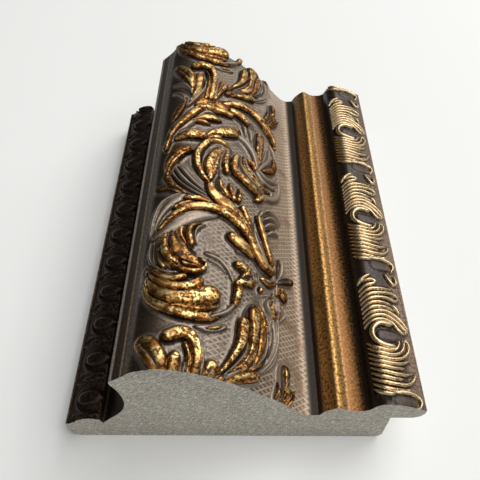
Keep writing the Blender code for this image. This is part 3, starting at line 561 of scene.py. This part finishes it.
def sheet_places(points, normals, stations, relief):
    """Where each cell corner of the sheet stands, once the carving is raised on it."""
    places = np.empty((*relief.shape, 3))
    places[..., 0] = points[:, 0] + normals[:, 0] * relief
    places[..., 1] = stations[:, None] - LENGTH / 2
    places[..., 2] = points[:, 1] + normals[:, 1] * relief
    return places


def carved_moulding(points, normals, stations, relief):
    """The moulding as one closed body: a sheet round the section, carved on its face, and two cut ends."""
    plain = len(UNDER)
    sheet = sheet_places(np.vstack([points, UNDER]), np.pad(normals, ((0, plain), (0, 0))), stations,
                         np.pad(relief, ((0, 0), (0, plain))))
    size = np.array([sheet.shape[1], sheet.shape[0]]) - 1
    bpy.ops.object.select_all(action="DESELECT")
    bpy.ops.mesh.primitive_grid_add(x_subdivisions=size[0], y_subdivisions=size[1], size=1)
    body = bpy.context.object
    body.name = "carved_moulding"
    column, row = np.rint((vertex_places(body.data)[:, :2] + 0.5) * size).astype(int).T
    body.data.vertices.foreach_set("co", (sheet[row, column] * MM).astype(np.float32).ravel())
    close_body(body, sheet[0, [0, -1]])
    return body


def vertex_places(mesh):
    """The places of all vertices, one row each."""
    places = np.empty(len(mesh.vertices) * 3, np.float32)
    mesh.vertices.foreach_get("co", places)
    return places.reshape(-1, 3)


def nearest_on_section(places, points, normals, across):
    """How far along the section the vertices stand, and how high over it."""
    finder = kdtree.KDTree(len(points))
    for k, (x, z) in enumerate(points):
        finder.insert((x, 0, z), k)
    finder.balance()
    nearest = np.array([finder.find((x, 0, z))[1] for x, y, z in places])
    away = places[:, [0, 2]] - points[nearest]
    tangents = np.stack([normals[nearest, 1], -normals[nearest, 0]], axis=1)
    return across[nearest] + (away * tangents).sum(axis=1), (away * normals[nearest]).sum(axis=1)


def sample(sheet, columns, rows):
    """The sheet's values between its columns and rows."""
    left = np.clip(columns.astype(int), 0, sheet.shape[1] - 2)
    low = np.clip(rows.astype(int), 0, sheet.shape[0] - 2)
    right, up = np.clip(columns - left, 0, 1), np.clip(rows - low, 0, 1)
    return ((sheet[low, left] * (1 - right) + sheet[low, left + 1] * right) * (1 - up)
            + (sheet[low + 1, left] * (1 - right) + sheet[low + 1, left + 1] * right) * up)


def keep_for_materials(body, points, normals, across, arris, stations, relief, gilt, border):
    """Keep at every vertex where it stands on the carved side, and what the finish needs to know there."""
    mesh = body.data
    places = vertex_places(mesh) / MM
    along = places[:, 1] + LENGTH / 2
    passed, height = nearest_on_section(places, points, normals, across)
    columns = np.interp(passed, across, np.arange(len(across)))
    rows = np.interp(along, stations, np.arange(len(stations)))
    hollow = blurred(relief, int(HOLLOW_REACH / FINE)) - relief
    for name, values in (("surface", (passed - across[arris["ridge"]], along, height)),
                         ("finish", [sample(sheet, columns, rows) for sheet in (gilt, hollow, border)])):
        layer = mesh.attributes.new(name, "FLOAT_VECTOR", "POINT")
        layer.data.foreach_set("vector", np.ascontiguousarray(np.stack(values, axis=1), np.float32).ravel())
    return columns, rows


def sheet_normals(points, normals, stations, relief):
    """The outward normals of the full carved sheet."""
    places = sheet_places(points, normals, stations, relief)
    outward = np.cross(np.gradient(places, axis=1), np.gradient(places, axis=0))
    return outward / np.linalg.norm(outward, axis=2, keepdims=True)


def shade_as_carved(body, carved, outward, columns, rows):
    """Give the thinned piece's carved faces the full sheet's normals, so that the thinning doesn't show."""
    mesh = body.data
    corners = np.empty(len(mesh.loops) * 3, np.float32)
    mesh.corner_normals.foreach_get("vector", corners)
    corners = corners.reshape(-1, 3)
    vertex, totals = (np.empty(len(part), np.int32) for part in (mesh.loops, mesh.polygons))
    mesh.loops.foreach_get("vertex_index", vertex)
    mesh.polygons.foreach_get("loop_total", totals)
    on_carving = np.repeat(carved, totals)
    exact = np.stack([sample(outward[..., k], columns, rows) for k in range(3)], axis=1)
    corners[on_carving] = exact[vertex[on_carving]]
    mesh.normals_split_custom_set(corners / np.linalg.norm(corners, axis=1, keepdims=True))


def on_edges(body, chosen, operator, longer=0, **settings):
    """Use an edit mode operator on the edges with both ends at chosen places, and longer than this."""
    mesh = body.data
    for part in (mesh.vertices, mesh.polygons):
        part.foreach_set("select", np.zeros(len(part), bool))
    ends = np.empty(len(mesh.edges) * 2, np.int32)
    mesh.edges.foreach_get("vertices", ends)
    first, last = ends.reshape(-1, 2).T
    places = vertex_places(mesh) / MM
    inside = chosen(places)
    long_enough = np.linalg.norm(places[first] - places[last], axis=1) >= longer
    mesh.edges.foreach_set("select", inside[first] & inside[last] & long_enough)
    bpy.context.tool_settings.mesh_select_mode = (False, True, False)
    bpy.ops.object.mode_set(mode="EDIT")
    operator(**settings)
    bpy.ops.object.mode_set(mode="OBJECT")


def close_body(body, long_edges):
    """Bridge the base between the two long edges of the sheet, and cap both cuts."""
    def at_base(places):
        return sum(np.hypot(places[:, 0] - x, places[:, 2] - z) < TOUCHING for x, _, z in long_edges) > 0

    on_edges(body, at_base, bpy.ops.mesh.bridge_edge_loops)
    for end in (-LENGTH / 2, LENGTH / 2):
        on_edges(body, lambda places: np.abs(places[:, 1] - end) < TOUCHING, bpy.ops.mesh.edge_face_add)
    bpy.ops.object.mode_set(mode="EDIT")
    bpy.ops.mesh.select_all(action="SELECT")
    bpy.ops.mesh.normals_make_consistent(inside=False)
    bpy.ops.object.mode_set(mode="OBJECT")


def on_carved_side(places):
    """Which places lie over the base and the rabbet, and on neither cut."""
    between_cuts = np.abs(places[:, 1]) < LENGTH / 2 - TOUCHING
    over_rabbet = (places[:, 0] < SHELF - 1) | (places[:, 2] > RABBET_HEIGHT + 1.5)
    return between_cuts & over_rabbet & (places[:, 2] > 5)


def thin_out(body):
    """Thin the even sheet, so that most faces go where it is carved, and split the long edges this leaves."""
    body.data.calc_loop_triangles()
    modifier = body.modifiers.new("thin", "DECIMATE")
    modifier.ratio = TRIANGLES / len(body.data.loop_triangles)
    bpy.context.view_layer.objects.active = body
    bpy.ops.object.modifier_apply(modifier="thin")
    for _ in range(HALVINGS):
        on_edges(body, on_carved_side, bpy.ops.mesh.subdivide, LONGEST, number_cuts=1)


# Materials


def linear(code):
    """An sRGB hex colour as linear red, green, blue and alpha."""
    parts = [int(code[k:k + 2], 16) / 255 for k in (1, 3, 5)]
    return (*(p / 12.92 if p <= 0.04045 else ((p + 0.055) / 1.055) ** 2.4 for p in parts), 1)


def add(tree, kind, inputs=None, **settings):
    """Add a node with its settings, and set or link its inputs. A node as an input links its first output."""
    new = tree.nodes.new("ShaderNode" + kind)
    for name, value in settings.items():
        setattr(new, name, value)
    for name, value in (inputs or {}).items():
        if isinstance(value, bpy.types.Node):
            value = value.outputs[0]
        if isinstance(value, bpy.types.NodeSocket):
            tree.links.new(value, new.inputs[name])
        else:
            new.inputs[name].default_value = value
    return new


def in_coats(tree, first, coats):
    """A colour built up in coats, each laid over the ones before by its share."""
    colour = first
    for share, over in coats:
        colour = add(tree, "Mix", {0: share, 6: colour, 7: over}, data_type="RGBA").outputs[2]
    return colour


def new_material(name):
    material = bpy.data.materials.new(name)
    material.use_nodes = True
    tree = material.node_tree
    return material, tree, tree.nodes["Principled BSDF"]


# Ground colours across the moulding: from and to in millimetres from the ridge arris, colour, colour of the
# mottling, share of metal. They blend from each row to the next.
BANDS = (
    (-60, -0.6, "#1C130C", "#3A2617", 0.6),
    # pale line on the ridge arris: partly a pale fillet, partly painted highlight
    (-0.25, 0.1, "#C4B4A0", "#A39482", 0.6),
    (0.3, 3.5, "#160D07", "#4A2C13", 0.95),
    # cream line at the ridge band's upper edge: partly a gilt fillet, partly painted highlight
    (3.8, 4.05, "#A08B69", "#7A623C", 0.9),
    (4.3, 5, "#4A3620", "#2B1E12", 0.8),
    (5.4, 5.4, "#594433", "#3E2F22", 0.9),
    (12, 12, "#685747", "#4C3F34", 0.85),
    (24, 24, "#6C5F54", "#524840", 0.8),
    (48, 48, "#6E6052", "#584B3E", 0.7),
    (62, 70.5, "#A1876E", "#7E6651", 0.5),
    (72, 72, "#1E1610", "#2B1F16", 0.3),
    (76.5, 76.5, "#2B1E12", "#4A331A", 0.4),
    (78, 85.6, "#B28A52", "#664420", 0.95),
    (86, 86.3, "#9A7656", "#6A4A2E", 0.9),
    (86.7, 91, "#5A3B20", "#7E5830", 0.9),
    (92, 95, "#140E0A", "#20160F", 0.2),
    (97, 97, "#2A1E15", "#20160F", 0.4),
    (108, 108, "#3A2A1D", "#2A1E15", 0.5),
    (109.5, 120, "#715D4D", "#514136", 0.7),
)
NEAREST, FURTHEST = BANDS[0][0], BANDS[-1][1]
NET_PITCH = 1.7           # between two lines of one set, in millimetres
NET_HEIGHT = 0.12         # of the lines
TOOTH_HEIGHT = 0.03       # of the tooth of the moulded paint
WEAR = 0.7                # how much the mottling shifts the edge of the gold


def gilded_face():
    """Gold leaf over brown bole. The eye sees bright crests broken by dark specks, umber wash and painted
    shade in the hollows and groove bottoms, and a pewter wash rubbed over the ground and the thin ribs, all
    under one satin coat of shellac."""
    material, tree, shader = new_material("antique_gold_leaf_on_brown_bole")
    surface = add(tree, "Attribute", attribute_name="surface").outputs["Vector"]
    finish = add(tree, "Attribute", attribute_name="finish").outputs["Vector"]
    across, along, height = add(tree, "SeparateXYZ", {0: surface}).outputs
    gilt, hollow, border = add(tree, "SeparateXYZ", {0: finish}).outputs

    # Noises, by the size of their blotches in millimetres
    noise = {}
    for name, size, detail in (("tooth", 0.45, 2), ("speck", 0.9, 3), ("mottle", 2.6, 3), ("cloud", 9.0, 2)):
        noise[name] = add(tree, "TexNoise", {"Vector": surface, "Scale": 1 / size, "Detail": detail})

    worn = add(tree, "Math", {0: noise["mottle"], 1: WEAR, 2: gilt}, operation="MULTIPLY_ADD")

    # Shares of the coats: from none to most as the value goes from low to high
    share = {}
    for name, value, low, high, most in (
        ("raised", height, 0.25, 0.6, 1.0),
        ("mottled", noise["speck"], 0.40, 0.66, 1.0),
        ("bole", gilt, 0.05, 0.16, 1.0),
        ("gold", worn, 0.62, 0.86, 1.0),
        ("copper", noise["mottle"], 0.62, 0.42, 0.9),
        ("pale", worn, 1.24, 1.46, 0.8),
        ("specks", noise["speck"], 0.49, 0.55, 0.88),
        ("speck_zone", noise["cloud"], 0.68, 0.50, 1.0),
        # painted shade: the hollows round the leaves' feet darken, partly umber wash, partly shade
        ("umber_and_hollow_shade", hollow, 0.6, 1.5, 0.92),
        ("halo", border, 0.2, 0.9, 0.55),
        ("rib_wash", height, 0.4, 1.0, 0.6),
        ("dome", across, 4.0, 5.0, 1.0),
        # painted shade with umber wash in the groove bottoms
        ("grooved", gilt, 0.0, -0.8, 0.9),
        ("shade", across, 18.0, 7.0, 0.5),
        ("shell", across, 94.0, 96.0, 0.85),
        ("low", height, 0.4, 0.2, 1.0),
        ("ground", border, 0.8, 0.2, 1.0),
        ("on_dome", across, 14.0, 66.0, 1.0),
        ("off_dome", across, 72.0, 70.0, 1.0),
        ("net", noise["cloud"], 0.3, 0.5, 0.85),
        ("glossy", across, 85.0, 87.0, 0.12),
    ):
        share[name] = add(tree, "MapRange", {0: value, 1: low, 2: high, 4: most},
                          interpolation_type="SMOOTHSTEP")
    for name, where in (("gold", "raised"), ("bole", "raised"), ("specks", "speck_zone"), ("shade", "dome"),
                        ("halo", "low"), ("ground", "low"), ("halo", "dome"), ("rib_wash", "dome")):
        share[name] = add(tree, "Math", {0: share[name], 1: share[where]}, operation="MULTIPLY")

    # The ground, from one table for the plain colour and one for its mottling
    place = add(tree, "MapRange", {0: across, 1: NEAREST, 2: FURTHEST})
    ground = []
    for column in (2, 3):
        ramp = add(tree, "ValToRGB", {0: place})
        stops = ramp.color_ramp.elements
        stops.remove(stops[1])
        for band in BANDS:
            for across_at in sorted(set(band[:2])):
                where = (across_at - NEAREST) / (FURTHEST - NEAREST)
                stop = stops[0] if where == 0 else stops.new(where)
                stop.position = where
                stop.color = (*linear(band[column])[:3], band[4])
        ground.append(ramp)

    # Two sets of thin raised lines that cross in a net on the ground
    lines = []
    for turn in (30, -30):
        turned = add(tree, "Mapping", {"Vector": surface, "Rotation": (0, 0, radians(turn))})
        step = add(tree, "SeparateXYZ", {0: turned}).outputs[1]
        angle = add(tree, "Math", {0: step, 1: 2 * np.pi / NET_PITCH}, operation="MULTIPLY")
        wave = add(tree, "Math", {0: angle}, operation="SINE")
        lines.append(add(tree, "MapRange", {0: wave, 1: 0.3, 2: 1.0}, interpolation_type="SMOOTHSTEP"))
    net = add(tree, "Math", {0: lines[0], 1: lines[1]}, operation="MAXIMUM")
    for name in ("ground", "on_dome", "off_dome", "net"):
        net = add(tree, "Math", {0: net, 1: share[name]}, operation="MULTIPLY")

    gold = in_coats(tree, linear("#BF8C4C"), [
        (share["copper"], linear("#8A5526")),
        (share["pale"], linear("#EBD090")),
        (share["specks"], linear("#3D2612")),
        (share["shell"], linear("#CDB691")),
    ])
    colour = in_coats(tree, ground[0].outputs[0], [
        (share["mottled"], ground[1].outputs[0]),
        (net, linear("#CDBDA7")),
        (share["halo"], linear("#968A7C")),
        (share["rib_wash"], linear("#A39483")),
        (share["bole"], linear("#2E1C0F")),
        (share["gold"], gold),
        # painted shade together with umber wash in the hollows
        (share["umber_and_hollow_shade"], linear("#17100A")),
        # painted shade: the groove bottoms darken, partly umber wash, partly shade
        (share["grooved"], linear("#22160D")),
        (share["shade"], linear("#22180F")),
    ])
    tree.links.new(colour, shader.inputs["Base Color"])

    metal = add(tree, "Math", {0: share["gold"], 1: ground[0].outputs[1]}, operation="MAXIMUM")
    tree.links.new(metal.outputs[0], shader.inputs["Metallic"])
    roughness = add(tree, "MapRange", {0: noise["speck"], 1: 0.35, 2: 0.65, 3: 0.34, 4: 0.52})
    roughness = add(tree, "Math", {0: roughness, 1: share["glossy"]}, operation="SUBTRACT")
    tree.links.new(roughness.outputs[0], shader.inputs["Roughness"])

    depth = add(tree, "Math", {0: net, 1: NET_HEIGHT * MM}, operation="MULTIPLY")
    depth = add(tree, "Math", {0: noise["tooth"], 1: TOOTH_HEIGHT * MM, 2: depth}, operation="MULTIPLY_ADD")
    bump = add(tree, "Bump", {"Height": depth, "Distance": 1.0})
    tree.links.new(bump.outputs[0], shader.inputs["Normal"])
    return material


SAW_TILT = -38            # degrees, of the saw's marks on the cuts
FOAM_DEPTH = 0.24         # of the torn cells, in millimetres


def sawn_foam():
    """Moulded polystyrene foam, sawn across: matt mid grey with fine torn cells and slanting saw marks."""
    material, tree, shader = new_material("sawn_polystyrene_foam")
    shader.inputs["Roughness"].default_value = 0.85
    places = add(tree, "TexCoord").outputs["Object"]
    noise, share = {}, {}
    # Size of the blotches in millimetres, how far they are drawn out, and from where to where they show
    for name, size, stretch, low, high, most in (
        ("cells", 0.5, 1.0, 0.46, 0.58, 1.0),
        ("clouds", 7.0, 1.0, 0.35, 0.65, 1.0),
        ("marks", 0.5, 4.0, 0.50, 0.60, 0.8),
    ):
        turned = add(tree, "Mapping", {"Vector": places, "Rotation": (0, radians(SAW_TILT), 0),
                                       "Scale": (stretch * MM, MM, MM)}, vector_type="TEXTURE")
        noise[name] = add(tree, "TexNoise", {"Vector": turned, "Scale": 1 / size, "Detail": 3,
                                             "Roughness": 0.65})
        share[name] = add(tree, "MapRange", {0: noise[name], 1: low, 2: high, 4: most},
                          interpolation_type="SMOOTHSTEP")
    colour = in_coats(tree, linear("#AFAA9D"), [
        (share["clouds"], linear("#BCB7A9")),
        (share["cells"], linear("#7C776C")),
        (share["marks"], linear("#D8D3C8")),
    ])
    tree.links.new(colour, shader.inputs["Base Color"])
    rough = add(tree, "Math", {0: noise["cells"], 1: noise["marks"]}, operation="ADD")
    depth = add(tree, "Math", {0: rough, 1: FOAM_DEPTH * MM}, operation="MULTIPLY")
    bump = add(tree, "Bump", {"Height": depth, "Distance": 1.0})
    tree.links.new(bump.outputs[0], shader.inputs["Normal"])
    return material


def give_materials(body):
    """Gilding on the carved side and round the lip, bare foam on the cuts, in the rabbet and on the base.
    Returns which faces lie on the carved side."""
    for material in (gilded_face(), sawn_foam()):
        body.data.materials.append(material)
    faces = body.data.polygons
    normal, centre = np.empty((2, len(faces) * 3), np.float32)
    faces.foreach_get("normal", normal)
    faces.foreach_get("center", centre)
    level = np.abs(normal.reshape(-1, 3)) > 0.99
    x, y, z = centre.reshape(-1, 3).T / MM
    cut = level[:, 1] & (np.abs(np.abs(y) - LENGTH / 2) < TOUCHING)
    base = level[:, 2] & (z < TOUCHING)
    rabbet = (x > SHELF - 3.5) & (z < RABBET_HEIGHT + 0.9)
    bare = cut | base | rabbet
    faces.foreach_set("material_index", bare.astype(np.int32))
    body.data.update()
    return ~bare & ((x < SHELF) | (z > LIP_HEIGHT))


# Scene

FRAME_PIXELS = 480
FOCAL_PIXELS = 543.6
# Softboxes: degrees right of straight behind, height in degrees, distance, width and height in metres, watts
LIGHTS = (
    ("top_softbox", 88, 64, 2.5, 3.0, 2.5, 58),
    ("key_softbox", 42, 37, 2.5, 2.2, 1.6, 30),
    ("front_fill", 175, 30, 2.3, 3.0, 2.0, 11),
)
AIM = Vector((0, 0, 0.02))
TABLE_SIZE = 3.0          # metres
SOFT_ANGLE = 60           # degrees; sharper edges than this stay crisp


def floor_and_lights():
    """A pale table under soft studio light, most of it from behind and from the right."""
    bpy.ops.mesh.primitive_plane_add(size=TABLE_SIZE, location=(0, 0, 0))
    floor = bpy.context.object
    floor.name = "table"
    material, tree, shader = new_material("matt_white_table")
    shader.inputs["Base Color"].default_value = linear("#F4F4F1")
    shader.inputs["Roughness"].default_value = 0.8
    floor.data.materials.append(material)
    for name, turn, rise, distance, width, height, power in LIGHTS:
        data = bpy.data.lights.new(name, "AREA")
        data.shape = "RECTANGLE"
        data.size, data.size_y, data.energy = width, height, power
        light = bpy.data.objects.new(name, data)
        turn, rise = radians(turn), radians(rise)
        towards = Vector((sin(turn) * cos(rise), cos(turn) * cos(rise), sin(rise)))
        light.location = AIM + distance * towards
        light.rotation_euler = towards.to_track_quat("Z", "Y").to_euler()
        bpy.context.collection.objects.link(light)
    world = bpy.data.worlds.new("studio")
    world.use_nodes = True
    back = world.node_tree.nodes["Background"]
    back.inputs["Color"].default_value = linear("#F4F5F7")
    back.inputs["Strength"].default_value = 0.06
    bpy.context.scene.world = world
    bpy.context.scene.view_settings.view_transform = "Standard"


def camera():
    """The photograph's view: from the front, half way down, looking along the moulding."""
    pitch, yaw, roll = radians(50.43), radians(-0.70), radians(-0.44)
    ahead = Vector((sin(yaw) * cos(pitch), cos(yaw) * cos(pitch), -sin(pitch)))
    right = Vector((cos(yaw), -sin(yaw), 0))
    up = right.cross(ahead)
    across = cos(roll) * right + sin(roll) * up
    above = cos(roll) * up - sin(roll) * right
    data = bpy.data.cameras.new("photograph")
    data.sensor_width = 36
    data.lens = data.sensor_width * FOCAL_PIXELS / FRAME_PIXELS
    data.clip_start = 0.005
    view = bpy.data.objects.new("photograph", data)
    turn = Matrix((across, above, -ahead)).transposed().to_4x4()
    place = Vector((EYE[0], EYE[1] - LENGTH / 2, EYE[2])) * MM
    view.matrix_world = Matrix.Translation(place) @ turn
    bpy.context.collection.objects.link(view)
    bpy.context.scene.camera = view


points, normals, across, arris = section()
stations = np.linspace(0, LENGTH, int(round(LENGTH / FINE)) + 1)
relief, gilt, border = carving(stations, points, normals, across, arris)
body = carved_moulding(points, normals, stations, relief)
thin_out(body)
columns, rows = keep_for_materials(body, points, normals, across, arris, stations, relief, gilt, border)
carved = give_materials(body)
bpy.ops.object.select_all(action="DESELECT")
body.select_set(True)
bpy.ops.object.shade_smooth_by_angle(angle=radians(SOFT_ANGLE))
shade_as_carved(body, carved, sheet_normals(points, normals, stations, relief), columns, rows)
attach(body, "root")
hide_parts("moulding")
floor_and_lights()
camera()
